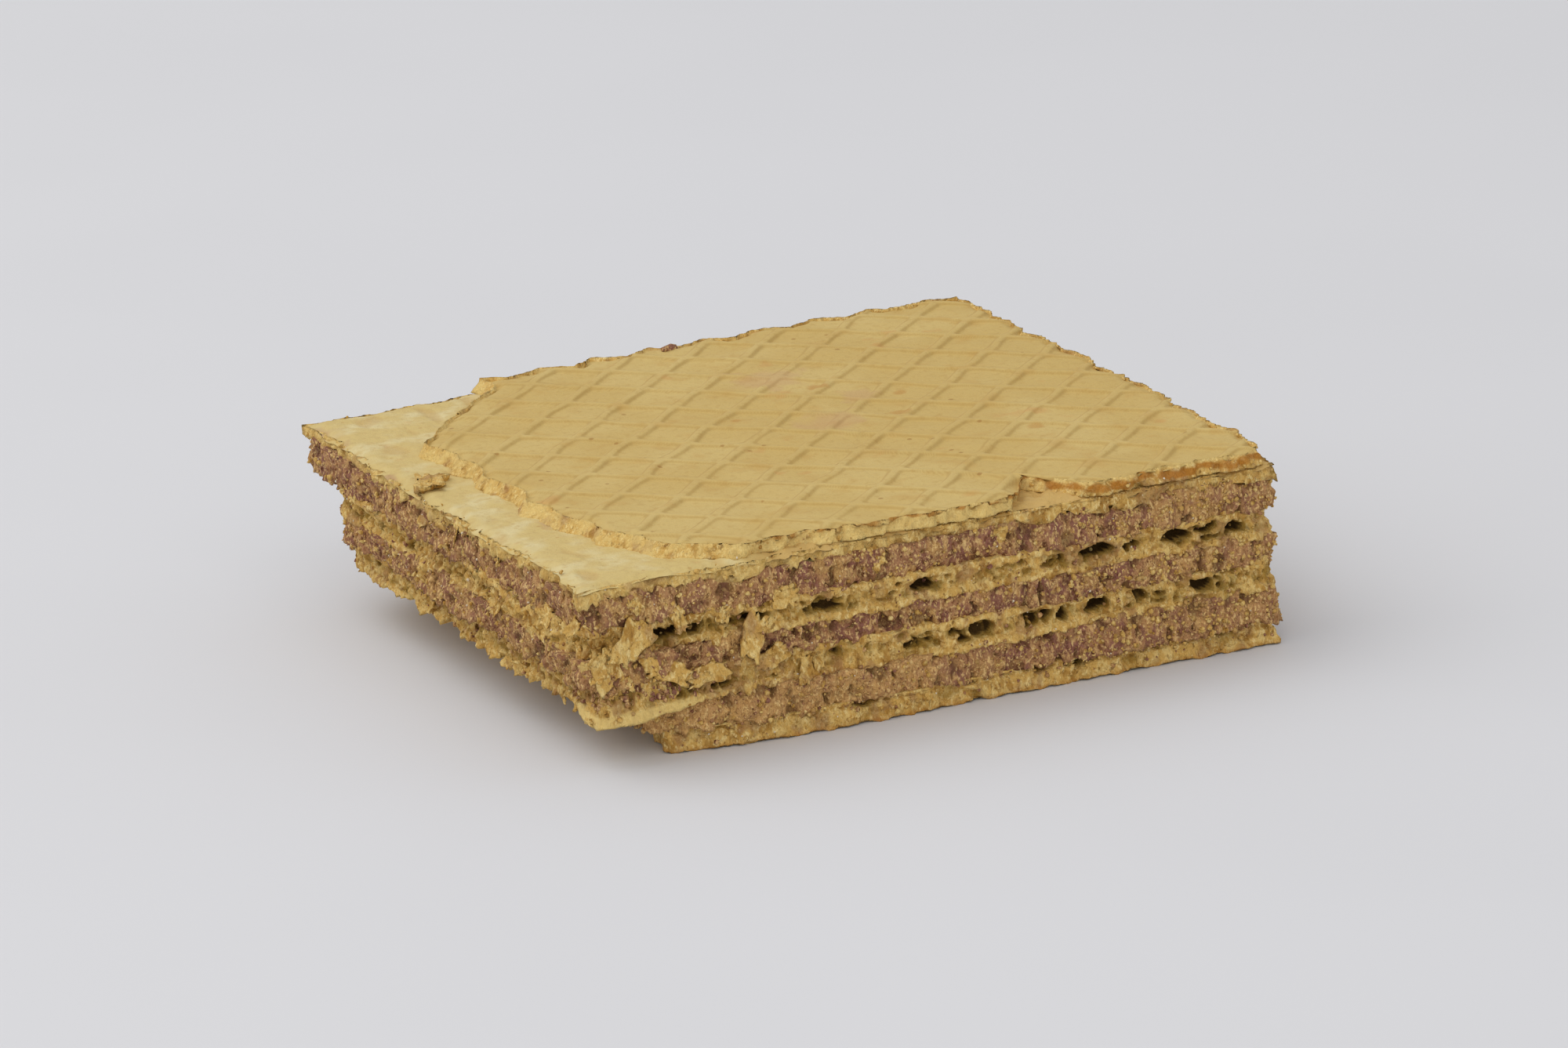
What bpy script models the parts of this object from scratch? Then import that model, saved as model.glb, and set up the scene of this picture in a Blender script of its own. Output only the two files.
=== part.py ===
"""Cream filled wafer: four crisp wafer sheets with three layers of cocoa cream between them.

The biscuit lies flat. X runs along its front edge, Y towards its back edge and Z up, in metres.
The origin is the centre of the bounding box, at the underside. Every layer is one closed solid.
A layer is built as a stack of rings round the biscuit, from its underside to its top, and the
rings are bent in and out where the edge is ragged, hollow or broken away.
"""
import math

import bmesh
import bpy
from mathutils import Vector, noise

MM = 0.001

# The whole biscuit
SIDE = 45.2 * MM
GAP = 0.3 * MM

# Layers from the underside up: name, thickness, kind
LAYERS = (
    ("wafer_bottom", 1.5 * MM, "wafer"),
    ("cream_lower", 1.9 * MM, "cream"),
    ("wafer_lower", 1.9 * MM, "wafer"),
    ("cream_middle", 1.4 * MM, "cream"),
    ("wafer_upper", 1.9 * MM, "wafer"),
    ("cream_upper", 1.8 * MM, "cream"),
    ("wafer_top", 1.8 * MM, "wafer"),
)

# Waffle pattern pressed into both outer faces: square cells between thin ridges, set at 45 degrees
CELL_PITCH = 3.73 * MM
RIDGE_WIDTH = 0.55 * MM
CELL_DEPTH = 0.2 * MM
CELL_SLOPE = 0.3 * MM
STAMP_CLEARANCE = 0.1 * MM
CELL_CENTRE_X = -0.45 * MM
CELL_CENTRE_Y = 3.2 * MM

# Ragged edges
EDGE_POINTS = {"wafer": 140, "cream": 100}
CRUMBLE = {"wafer": 0.3 * MM, "cream": 0.25 * MM}
CRUMBLE_LENGTH = 1.6 * MM
WANDER = 0.45 * MM
WANDER_LENGTH = 9.0 * MM
WANDER_SEED = 5.0
SKIN_SEED_STEP = 0.5
CREAM_SEED_STEP = 0.35
GROOVE_DEPTH = 0.3 * MM
CAVITY_DEPTH = 1.1 * MM
CAVITY_LENGTH = 2.6 * MM
CAVITY_STEEPNESS = 2.2
CAVITY_SEED = 11.0
GROOVE_LOW = 0.38
GROOVE_HIGH = 0.66
TOOTH_DEPTH = 0.8 * MM
TOOTH_SHARE_RIGHT = 0.5
SKIN_CORNER_WEAR = 1.1 * MM
SKIN_CORNER_LENGTH = 2.5 * MM
RIGHT_BULGE = 0.6 * MM
RIGHT_BULGE_LENGTH = 9.0 * MM
EDGE_INSET = 0.35 * MM
CREAM_BULGE = 0.12 * MM
LIP_HEIGHT = 0.4 * MM

# The top skin has peeled off a strip along the left edge and chipped back along the front
LEDGE_THICKNESS = 0.8 * MM
STEP_START = 0.05 * MM
FEATHER_LEFT = 1.3 * MM
FEATHER_FRONT = 0.35 * MM
PEEL_WIDTH = 4.3 * MM
PEEL_BACK_FLARE = 8.0 * MM
PEEL_BACK_LENGTH = 13.0 * MM
PEEL_FRONT_FLARE = 7.5 * MM
PEEL_FRONT_LENGTH = 3.6 * MM
TEAR = 0.8 * MM
TEAR_LENGTH = 3.2 * MM
PEEL_SEED = 3.0
CHIP_SEED = 9.0
CHIP_DEPTH = 0.7 * MM
CHIP_REACH = 21.0 * MM
NOTCH_START = 23.1 * MM
NOTCH_TIP = 26.2 * MM
NOTCH_END = 29.6 * MM
NOTCH_DEPTH = 3.8 * MM

# The lowest cream and the bottom sheet have broken off along the left edge
BREAK_WIDTH = {"wafer_bottom": 7.0 * MM, "cream_lower": 5.6 * MM, "wafer_lower": 0.5 * MM}
BREAK_FRONT_EASE = 1.6 * MM
BREAK_EASE_LENGTH = 6.0 * MM
BREAK_CORNER = 1.8 * MM
BREAK_CORNER_LENGTH = 4.0 * MM

# The two upper sheets overhang the rest at the back left corner
OVERHANG = 2.2 * MM
OVERHANG_LENGTH = 7.0 * MM
OVERHANG_FADE = 8

COLOURS = {
    "wafer_skin": (0.552, 0.392, 0.142),
    "cocoa_cream": (0.270, 0.145, 0.070),
}


def clear_scene():
    """Remove every object, so that the biscuit is alone."""
    for old in list(bpy.data.objects):
        bpy.data.objects.remove(old, do_unlink=True)


def make_material(name, colour, roughness):
    """A plain material with one colour."""
    material = bpy.data.materials.new(name)
    material.use_nodes = True
    shader = material.node_tree.nodes["Principled BSDF"]
    shader.inputs["Base Color"].default_value = (*colour, 1.0)
    shader.inputs["Roughness"].default_value = roughness
    shader.inputs["Metallic"].default_value = 0.0
    return material


def wobble(position, length, seed):
    """Smooth noise between about -1 and 1, which changes over the given length."""
    shift = Vector((seed * 3.1, seed * 7.7, seed * 1.3))
    return noise.noise(Vector(position) / length + shift)


def smooth_step(value):
    """0 below 0, 1 above 1 and a soft S between."""
    value = min(max(value, 0.0), 1.0)
    return value * value * (3.0 - 2.0 * value)


def triangle_wave(distance, period):
    """0 to 1 and back once in each period."""
    phase = (distance / period) % 1.0
    return 1.0 - abs(2.0 * phase - 1.0)


def walk_square(count):
    """Places round a unit square, anticlockwise from the front left corner."""
    per_side = count // 4
    for step in range(per_side):
        yield step / per_side, 0.0
    for step in range(per_side):
        yield 1.0, step / per_side
    for step in range(per_side):
        yield 1.0 - step / per_side, 1.0
    for step in range(per_side):
        yield 0.0, 1.0 - step / per_side


def break_inset(name, distance_back):
    """How far the broken left edge of a layer stands in from the biscuit's left side."""
    width = BREAK_WIDTH.get(name, 0.0)
    if width <= BREAK_FRONT_EASE:
        return width
    return width - BREAK_FRONT_EASE * math.exp(-distance_back / BREAK_EASE_LENGTH)


def overhang_inset(name, distance_back):
    """The lower layers stand in at the back left corner, under the two upper ones."""
    if name in ("wafer_top", "cream_upper"):
        return 0.0
    return OVERHANG * smooth_step(1.0 - (SIDE - distance_back) / OVERHANG_LENGTH)


def peel_inset(distance_back):
    """How far the top skin stands in from the left side, where it has peeled away."""
    back_flare = smooth_step(1.0 - (SIDE - distance_back) / PEEL_BACK_LENGTH)
    front_flare = math.exp(-distance_back / PEEL_FRONT_LENGTH)
    tear = TEAR * wobble((distance_back, 0.0, 0.0), TEAR_LENGTH, PEEL_SEED)
    return PEEL_WIDTH + tear + PEEL_BACK_FLARE * back_flare + PEEL_FRONT_FLARE * front_flare


def chip_inset(distance_right):
    """How far the top skin is chipped back from the front side, with one pointed notch."""
    chipped = CHIP_DEPTH * smooth_step(1.0 - distance_right / CHIP_REACH)
    rising = (distance_right - NOTCH_START) / (NOTCH_TIP - NOTCH_START)
    falling = (NOTCH_END - distance_right) / (NOTCH_END - NOTCH_TIP)
    notch = NOTCH_DEPTH * max(0.0, min(rising, falling))
    tear = TEAR * abs(wobble((distance_right, 0.0, 0.0), TEAR_LENGTH, CHIP_SEED))
    return EDGE_INSET + chipped + notch + tear


def tooth_inset(distance):
    """The skins chip along the ridges, which leaves a saw tooth edge."""
    return TOOTH_DEPTH * triangle_wave(distance, CELL_PITCH * math.sqrt(2.0))


def side_insets(name, along, back, skin):
    """How far each side of a ring stands in from the nominal square: left, right, front, rear."""
    if skin:
        right = TOOTH_SHARE_RIGHT * tooth_inset(back)
        right += SKIN_CORNER_WEAR * math.exp(-back / SKIN_CORNER_LENGTH)
        return peel_inset(back), right, chip_inset(along), tooth_inset(along)
    overhang = overhang_inset(name, back)
    left = break_inset(name, back) + overhang
    front = EDGE_INSET
    if name in ("wafer_bottom", "cream_lower"):
        front += BREAK_CORNER * math.exp(-along / BREAK_CORNER_LENGTH)
    right = EDGE_INSET
    if name not in ("wafer_bottom", "wafer_top"):
        right -= RIGHT_BULGE * math.exp(-back / RIGHT_BULGE_LENGTH)
    rear = EDGE_INSET + overhang * (1.0 - along / SIDE) ** OVERHANG_FADE
    return left, right, front, rear


def edge_roughness(kind, along, back, seed):
    """Slow wander and quick crumble of an edge, in or out."""
    place = (along, back, 0.0)
    slow = WANDER * wobble(place, WANDER_LENGTH, seed + WANDER_SEED)
    quick = CRUMBLE[kind] * wobble(place, CRUMBLE_LENGTH, seed)
    return slow + quick


def groove_inset(along, back, seed):
    """The hollow middle of a broken wafer edge: a shallow groove with deep cavities in it."""
    rise = wobble((along, back, 0.0), CAVITY_LENGTH, seed + CAVITY_SEED)
    cavity = smooth_step(CAVITY_STEEPNESS * rise)
    return GROOVE_DEPTH + CAVITY_DEPTH * cavity


def add_ring(mesh, name, kind, seed, height, skin=False, foot=0.0, inset=None):
    """Add one ring of points at a height: a bent square, drawn in by the inset.

    The foot, from 0 to 1, lets a torn skin reach further out at the left and the front.
    """
    ring = []
    for u, v in walk_square(EDGE_POINTS[kind]):
        along = u * SIDE
        back = v * SIDE
        left, right, front, rear = side_insets(name, along, back, skin)
        draw_in = inset(along, back) if inset else 0.0
        draw_in -= edge_roughness(kind, along, back, seed)
        low_x = -SIDE / 2 + left + draw_in - foot * FEATHER_LEFT
        high_x = SIDE / 2 - right - draw_in
        low_y = -SIDE / 2 + front + draw_in - foot * FEATHER_FRONT
        high_y = SIDE / 2 - rear - draw_in
        x = low_x + (high_x - low_x) * u
        y = low_y + (high_y - low_y) * v
        ring.append(mesh.verts.new((x, y, height)))
    return ring


def join_rings(mesh, lower, upper):
    """Fill the band between two rings."""
    count = len(lower)
    for index in range(count):
        after = (index + 1) % count
        mesh.faces.new((lower[index], lower[after], upper[after], upper[index]))


def stack_rings(name, material, rings_of):
    """Build one closed layer from its rings, listed from the underside up.

    The two caps are cut into triangles in millimetres, as rounding disturbs that in metres.
    """
    mesh = bmesh.new()
    rings = rings_of(mesh)
    for lower, upper in zip(rings, rings[1:]):
        join_rings(mesh, lower, upper)
    mesh.faces.new(list(reversed(rings[0])))
    mesh.faces.new(rings[-1])
    bmesh.ops.scale(mesh, verts=mesh.verts[:], vec=Vector((1.0, 1.0, 1.0)) / MM)
    bmesh.ops.triangulate(mesh, faces=mesh.faces[:])
    bmesh.ops.scale(mesh, verts=mesh.verts[:], vec=Vector((1.0, 1.0, 1.0)) * MM)
    bmesh.ops.recalc_face_normals(mesh, faces=mesh.faces[:])
    data = bpy.data.meshes.new(name)
    mesh.to_mesh(data)
    mesh.free()
    layer = bpy.data.objects.new(name, data)
    layer.data.materials.append(material)
    bpy.context.collection.objects.link(layer)
    return layer


def make_cream(name, low, high, seed, material):
    """A cream layer: a slab whose edge bulges a little at half height."""
    def rings_of(mesh):
        rings = []
        for step, bulge in enumerate((0.0, CREAM_BULGE, 0.0)):
            height = low + (high - low) * step / 2
            swell = lambda along, back, amount=bulge: -amount
            rings.append(add_ring(mesh, name, "cream", seed + CREAM_SEED_STEP * step, height, inset=swell))
        return rings
    return stack_rings(name, material, rings_of)


def make_sheet(name, low, high, seed, material):
    """A wafer sheet: two thin skins with a hollow groove between them round the edge."""
    def rings_of(mesh):
        tall = high - low
        upper_seed = seed + SKIN_SEED_STEP
        groove = lambda along, back: groove_inset(along, back, seed)
        return [
            add_ring(mesh, name, "wafer", seed, low),
            add_ring(mesh, name, "wafer", seed, low + LIP_HEIGHT),
            add_ring(mesh, name, "wafer", seed, low + GROOVE_LOW * tall, inset=groove),
            add_ring(mesh, name, "wafer", upper_seed, low + GROOVE_HIGH * tall, inset=groove),
            add_ring(mesh, name, "wafer", upper_seed, high),
        ]
    return stack_rings(name, material, rings_of)


def make_peeled_sheet(name, low, high, seed, material):
    """The top sheet: its lower skin is whole, and the rest slopes up to the torn top skin."""
    def rings_of(mesh):
        ledge = low + LEDGE_THICKNESS
        return [
            add_ring(mesh, name, "wafer", seed, low),
            add_ring(mesh, name, "wafer", seed, ledge),
            add_ring(mesh, name, "wafer", seed, ledge + STEP_START, skin=True, foot=1.0),
            add_ring(mesh, name, "wafer", seed, high, skin=True),
        ]
    return stack_rings(name, material, rings_of)


def make_cell_stamp(name, face_height, direction):
    """One body for each waffle cell: a square pyramid cut off short, to be pressed into a face."""
    mesh = bmesh.new()
    reach = int(SIDE / CELL_PITCH) + 1
    mouth = (CELL_PITCH - RIDGE_WIDTH) / 2
    flare = CELL_SLOPE * STAMP_CLEARANCE / CELL_DEPTH
    steps = ((mouth + flare, -STAMP_CLEARANCE), (mouth - CELL_SLOPE, CELL_DEPTH))
    for row in range(-reach, reach + 1):
        for column in range(-reach, reach + 1):
            centre_x = CELL_CENTRE_X + (row - column) * CELL_PITCH / math.sqrt(2.0)
            centre_y = CELL_CENTRE_Y - (row + column) * CELL_PITCH / math.sqrt(2.0)
            if max(abs(centre_x), abs(centre_y)) > SIDE / 2:
                continue
            squares = []
            for half, depth in steps:
                corner = half * math.sqrt(2.0)
                height = face_height - direction * depth
                square = []
                for turn in range(4):
                    angle = turn * math.pi / 2
                    x = centre_x + corner * math.cos(angle)
                    y = centre_y + corner * math.sin(angle)
                    square.append(mesh.verts.new((x, y, height)))
                squares.append(square)
            join_rings(mesh, squares[0], squares[1])
            mesh.faces.new(list(reversed(squares[0])))
            mesh.faces.new(squares[1])
    bmesh.ops.recalc_face_normals(mesh, faces=mesh.faces[:])
    data = bpy.data.meshes.new(name)
    mesh.to_mesh(data)
    mesh.free()
    stamp = bpy.data.objects.new(name, data)
    stamp.hide_render = True
    stamp.display_type = "WIRE"
    bpy.context.collection.objects.link(stamp)
    return stamp


def press_cells(sheet, stamp):
    """Press the waffle cells into a sheet."""
    press = sheet.modifiers.new("waffle cells", "BOOLEAN")
    press.operation = "DIFFERENCE"
    press.solver = "EXACT"
    press.object = stamp


def centre_on_origin(layers):
    """Move all layers together, so that the middle of their bounding box is over the origin."""
    bpy.context.view_layer.update()
    corners = [layer.matrix_world @ Vector(corner) for layer in layers for corner in layer.bound_box]
    for axis in (0, 1):
        low = min(corner[axis] for corner in corners)
        high = max(corner[axis] for corner in corners)
        for moved in bpy.data.objects:
            moved.location[axis] -= (low + high) / 2
    low = min(corner[2] for corner in corners)
    for moved in bpy.data.objects:
        moved.location[2] -= low


def build_wafer():
    """Lay the layers on each other from the underside up."""
    skin = make_material("wafer_skin", COLOURS["wafer_skin"], 0.75)
    cream = make_material("cocoa_cream", COLOURS["cocoa_cream"], 0.7)
    layers = []
    floor = 0.0
    for seed, (name, thickness, kind) in enumerate(LAYERS):
        low = floor + (GAP / 2 if floor > 0.0 else 0.0)
        floor += thickness
        last = name == LAYERS[-1][0]
        high = floor - (0.0 if last else GAP / 2)
        if kind == "cream":
            layer = make_cream(name, low, high, seed, cream)
        elif last:
            layer = make_peeled_sheet(name, low, high, seed, skin)
        else:
            layer = make_sheet(name, low, high, seed, skin)
        layers.append(layer)
    press_cells(layers[-1], make_cell_stamp("upper cells", floor, 1.0))
    press_cells(layers[0], make_cell_stamp("lower cells", 0.0, -1.0))
    centre_on_origin(layers)


clear_scene()
build_wafer()
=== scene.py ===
# %% [markdown]
# # A cream filled wafer
# Four crisp wafer sheets hold three layers of cocoa cream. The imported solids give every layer
# its place and size. This lesson gives each layer its fine shape, broken edges and finish.

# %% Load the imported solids
import math
import random

import bmesh
import bpy
from mathutils import Matrix, Vector, noise


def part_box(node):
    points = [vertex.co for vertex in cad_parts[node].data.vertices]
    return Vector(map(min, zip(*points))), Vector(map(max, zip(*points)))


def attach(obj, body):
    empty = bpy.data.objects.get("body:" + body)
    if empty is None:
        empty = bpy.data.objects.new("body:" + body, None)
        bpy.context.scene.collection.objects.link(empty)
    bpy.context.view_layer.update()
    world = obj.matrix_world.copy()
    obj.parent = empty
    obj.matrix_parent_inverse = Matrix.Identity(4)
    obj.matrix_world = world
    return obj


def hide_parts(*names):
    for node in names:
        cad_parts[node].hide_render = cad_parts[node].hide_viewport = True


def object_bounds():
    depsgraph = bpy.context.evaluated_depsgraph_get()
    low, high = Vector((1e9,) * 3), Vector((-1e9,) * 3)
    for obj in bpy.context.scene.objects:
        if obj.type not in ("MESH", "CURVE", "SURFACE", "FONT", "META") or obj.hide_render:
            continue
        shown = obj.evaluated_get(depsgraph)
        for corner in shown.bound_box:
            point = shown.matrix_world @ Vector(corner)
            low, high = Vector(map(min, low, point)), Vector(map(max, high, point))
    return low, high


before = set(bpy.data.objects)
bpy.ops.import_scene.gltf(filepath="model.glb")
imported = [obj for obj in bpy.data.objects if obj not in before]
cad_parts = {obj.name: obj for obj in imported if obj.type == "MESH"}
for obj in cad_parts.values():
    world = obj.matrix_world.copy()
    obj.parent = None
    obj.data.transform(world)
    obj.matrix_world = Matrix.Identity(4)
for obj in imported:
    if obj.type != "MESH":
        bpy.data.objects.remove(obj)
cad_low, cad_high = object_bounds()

MM = 0.001
NODES = ("wafer_bottom", "cream_lower", "wafer_lower", "cream_middle", "wafer_upper", "cream_upper",
         "wafer_top")
boxes = {name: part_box(name) for name in NODES}
for name in NODES:
    low, high = boxes[name]
    print(f"{name}: {low.z / MM:.2f} to {high.z / MM:.2f} mm high")

# %% [markdown]
# ## Noise, the sculptor's hand
# Nothing on a broken biscuit is straight. Smooth noise with a real length in millimetres moves
# each point a little. The same few rules also shaped the solids, so the fine pieces follow them.
# A fixed seed makes the noise that moves points in all directions the same in every run.

# %% Noise and soft steps
SIDE = 45.2 * MM
CRUMBLE = {"wafer": 0.3 * MM, "cream": 0.25 * MM}
CRUMBLE_LENGTH = 1.6 * MM
WANDER = 0.45 * MM
WANDER_LENGTH = 9.0 * MM
BUBBLE_REACH = 0.62
noise.seed_set(5)


def wobble(position, length, seed):
    """Smooth noise between about -1 and 1, which changes over the given length."""
    shift = Vector((seed * 3.1, seed * 7.7, seed * 1.3))
    return noise.noise(Vector(position) / length + shift)


def ripple(point, length):
    """Smooth noise at a point, between about -1 and 1, with its length in millimetres."""
    return noise.noise(point / (length * MM))


def clamp(value):
    """The value, held between 0 and 1."""
    return min(max(value, 0.0), 1.0)


def smooth_step(value):
    """0 below 0, 1 above 1 and a soft S between."""
    value = clamp(value)
    return value * value * (3.0 - 2.0 * value)


def blend(first, second, share):
    """A value between two others."""
    return first + (second - first) * share


def triangle_wave(distance, period):
    """0 to 1 and back once in each period."""
    phase = (distance / period) % 1.0
    return 1.0 - abs(2.0 * phase - 1.0)


def bubble(position, size, seed):
    """1 in the middle of a round bubble and 0 on the walls between bubbles."""
    shift = Vector((seed * 5.3, seed * 2.9, seed * 1.7))
    distances = noise.voronoi(Vector(position) / size + shift)[0]
    return 1.0 - smooth_step(distances[0] / BUBBLE_REACH)


# %% [markdown]
# ## The outline of each layer
# A layer's outline is a square whose four sides are bent in and out. The top skin has peeled off
# a strip along the left, and the lowest layers have broken away there. Any place in the layer is
# then given by two shares, u from left to right and v from front to back.

# %% Rules for the four sides
CELL_PITCH = 3.73 * MM
EDGE_INSET = 0.35 * MM
TOOTH_DEPTH = 0.8 * MM
TOOTH_SHARE_RIGHT = 0.5
SKIN_CORNER_WEAR = 1.1 * MM
SKIN_CORNER_LENGTH = 2.5 * MM
RIGHT_BULGE = 0.6 * MM
RIGHT_BULGE_LENGTH = 9.0 * MM
PEEL_WIDTH = 4.3 * MM
PEEL_BACK_FLARE = 8.0 * MM
PEEL_BACK_LENGTH = 13.0 * MM
PEEL_FRONT_FLARE = 7.5 * MM
PEEL_FRONT_LENGTH = 3.6 * MM
TEAR = 0.8 * MM
TEAR_LENGTH = 3.2 * MM
CHIP_DEPTH = 0.7 * MM
CHIP_REACH = 21.0 * MM
NOTCH_START = 23.1 * MM
NOTCH_TIP = 26.2 * MM
NOTCH_END = 29.6 * MM
NOTCH_DEPTH = 3.8 * MM
BREAK_WIDTH = {"wafer_bottom": 7.0 * MM, "cream_lower": 5.6 * MM, "wafer_lower": 0.5 * MM}
BREAK_FRONT_EASE = 1.6 * MM
BREAK_EASE_LENGTH = 6.0 * MM
BREAK_CORNER = 1.8 * MM
BREAK_CORNER_LENGTH = 4.0 * MM
OVERHANG = 2.2 * MM
OVERHANG_LENGTH = 7.0 * MM


def break_inset(name, distance_back):
    """How far the broken left edge of a layer stands in from the biscuit's left side."""
    width = BREAK_WIDTH.get(name, 0.0)
    if width <= BREAK_FRONT_EASE:
        return width
    return width - BREAK_FRONT_EASE * math.exp(-distance_back / BREAK_EASE_LENGTH)


def overhang_inset(name, distance_back):
    """The lower layers stand in at the back left corner, under the two upper ones."""
    if name in ("wafer_top", "cream_upper"):
        return 0.0
    return OVERHANG * smooth_step(1.0 - (SIDE - distance_back) / OVERHANG_LENGTH)


def peel_inset(distance_back):
    """How far the top skin stands in from the left side, where it has peeled away."""
    back_flare = smooth_step(1.0 - (SIDE - distance_back) / PEEL_BACK_LENGTH)
    front_flare = math.exp(-distance_back / PEEL_FRONT_LENGTH)
    tear = TEAR * wobble((distance_back, 0.0, 0.0), TEAR_LENGTH, 3.0)
    return PEEL_WIDTH + tear + PEEL_BACK_FLARE * back_flare + PEEL_FRONT_FLARE * front_flare


def chip_inset(distance_right):
    """How far the top skin is chipped back from the front side, with one pointed notch."""
    chipped = CHIP_DEPTH * smooth_step(1.0 - distance_right / CHIP_REACH)
    rising = (distance_right - NOTCH_START) / (NOTCH_TIP - NOTCH_START)
    falling = (NOTCH_END - distance_right) / (NOTCH_END - NOTCH_TIP)
    notch = NOTCH_DEPTH * max(0.0, min(rising, falling))
    tear = TEAR * abs(wobble((distance_right, 0.0, 0.0), TEAR_LENGTH, 9.0))
    return EDGE_INSET + chipped + notch + tear


def tooth_inset(distance):
    """The skins chip along the ridges, which leaves a saw tooth edge."""
    return TOOTH_DEPTH * triangle_wave(distance, CELL_PITCH * math.sqrt(2.0))


def side_insets(name, along, back, skin):
    """How far each side stands in from the nominal square: left, right, front, rear."""
    if skin:
        right = TOOTH_SHARE_RIGHT * tooth_inset(back)
        right += SKIN_CORNER_WEAR * math.exp(-back / SKIN_CORNER_LENGTH)
        return peel_inset(back), right, chip_inset(along), tooth_inset(along)
    overhang = overhang_inset(name, back)
    left = break_inset(name, back) + overhang
    front = EDGE_INSET
    if name in ("wafer_bottom", "cream_lower"):
        front += BREAK_CORNER * math.exp(-along / BREAK_CORNER_LENGTH)
    right = EDGE_INSET
    if name not in ("wafer_bottom", "wafer_top"):
        right -= RIGHT_BULGE * math.exp(-back / RIGHT_BULGE_LENGTH)
    rear = EDGE_INSET + overhang * (1.0 - along / SIDE) ** 8
    return left, right, front, rear


def edge_roughness(kind, along, back, seed):
    """Slow wander and quick crumble of an edge, in or out."""
    place = (along, back, 0.0)
    slow = WANDER * wobble(place, WANDER_LENGTH, seed + 5.0)
    quick = CRUMBLE[kind] * wobble(place, CRUMBLE_LENGTH, seed)
    return slow + quick


# %% [markdown]
# The solids were centred on their own box after they were built, so the rules above are shifted
# by the same amount. One cream layer, walked round as coarsely as its solid was, gives it.

# %% Find the shift between the rules and the solids
SOLID_POINTS = 100
CREAM_BULGE = 0.12 * MM


def walk_square(share):
    """The place (u, v) at a share of the way round a unit square, from the front left corner."""
    turn, rest = divmod((share % 1.0) * 4.0, 1.0)
    return ((rest, 0.0), (1.0, rest), (1.0 - rest, 1.0), (0.0, 1.0 - rest))[int(turn)]


def solid_place(name, kind, seed, share, bulge):
    """A point of a solid's own ring, before the solids were centred."""
    u, v = walk_square(share)
    along, back = u * SIDE, v * SIDE
    left, right, front, rear = side_insets(name, along, back, False)
    out = edge_roughness(kind, along, back, seed) + bulge
    x = blend(-SIDE / 2 + left - out, SIDE / 2 - right + out, u)
    y = blend(-SIDE / 2 + front - out, SIDE / 2 - rear + out, v)
    return x, y


rings = [solid_place("cream_middle", "cream", seed, step / SOLID_POINTS, bulge)
         for seed, bulge in ((3.0, 0.0), (3.35, CREAM_BULGE), (3.7, 0.0))
         for step in range(SOLID_POINTS)]
middle_low = boxes["cream_middle"][0]
SHIFT_X = middle_low.x - min(x for x, y in rings)
SHIFT_Y = middle_low.y - min(y for x, y in rings)
print(f"shift: {SHIFT_X / MM:.3f}, {SHIFT_Y / MM:.3f} mm")

# %% [markdown]
# ## Modelling helpers
# A finished piece keeps its object at the origin, so its place is in its mesh. An operator acts
# on all that is selected, so everything is deselected before each new primitive.

# %% Start, finish and shade a piece


def deselect():
    """Nothing selected and no edit mode left open."""
    if bpy.context.object and bpy.context.object.mode != "OBJECT":
        bpy.ops.object.mode_set(mode="OBJECT")
    bpy.ops.object.select_all(action="DESELECT")


def select_only(piece):
    """Only this piece selected and active."""
    deselect()
    piece.select_set(True)
    bpy.context.view_layer.objects.active = piece


def apply_place(piece):
    """Move the object's place into its mesh."""
    select_only(piece)
    bpy.ops.object.transform_apply(location=True, rotation=True, scale=True)


def face_outward(piece):
    """Turn all faces of a closed piece outward. An inside out piece has a negative volume."""
    select_only(piece)
    bpy.ops.object.mode_set(mode="EDIT")
    bpy.ops.mesh.select_all(action="SELECT")
    bpy.ops.mesh.normals_make_consistent(inside=False)
    if bmesh.from_edit_mesh(piece.data).calc_volume(signed=True) < 0.0:
        bpy.ops.mesh.flip_normals()
    bpy.ops.object.mode_set(mode="OBJECT")


def write_points(piece, points, names, rows):
    """Move a piece's points, and store each point's row of numbers under the names given."""
    piece.data.vertices.foreach_set("co", [value for point in points for value in point])
    for name, values in zip(names, zip(*rows)):
        layer = piece.data.attributes.new(name, "FLOAT", "POINT")
        layer.data.foreach_set("value", values)
    piece.data.update()
    face_outward(piece)
    report(piece)


def report(piece):
    """Print how big a finished piece is."""
    size = piece.dimensions / MM
    faces = sum(len(face.vertices) - 2 for face in piece.data.polygons)
    print(f"{piece.name}: {size.x:.1f} x {size.y:.1f} x {size.z:.1f} mm, {faces} triangles")


# %% [markdown]
# ## One ring of points after another
# Every inner layer starts as an open tube: a circle whose edge is extruded upward row by row, and
# closed by a face at each end. Two narrow rims inside each end keep those faces flat. The tube
# is then bent: its angle says where round the biscuit a point is, its height says which row.

# %% A closed tube with many rows
COLUMNS = 1800
RIM_STEPS = (0.9, 0.97, 1.0)


def resize_loop(start, end):
    """Extrude the selected loop and draw it in or out from one radius to another."""
    bpy.ops.mesh.extrude_edges_move()
    factor = end / start
    bpy.ops.transform.resize(value=(factor, factor, 1.0))


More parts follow.
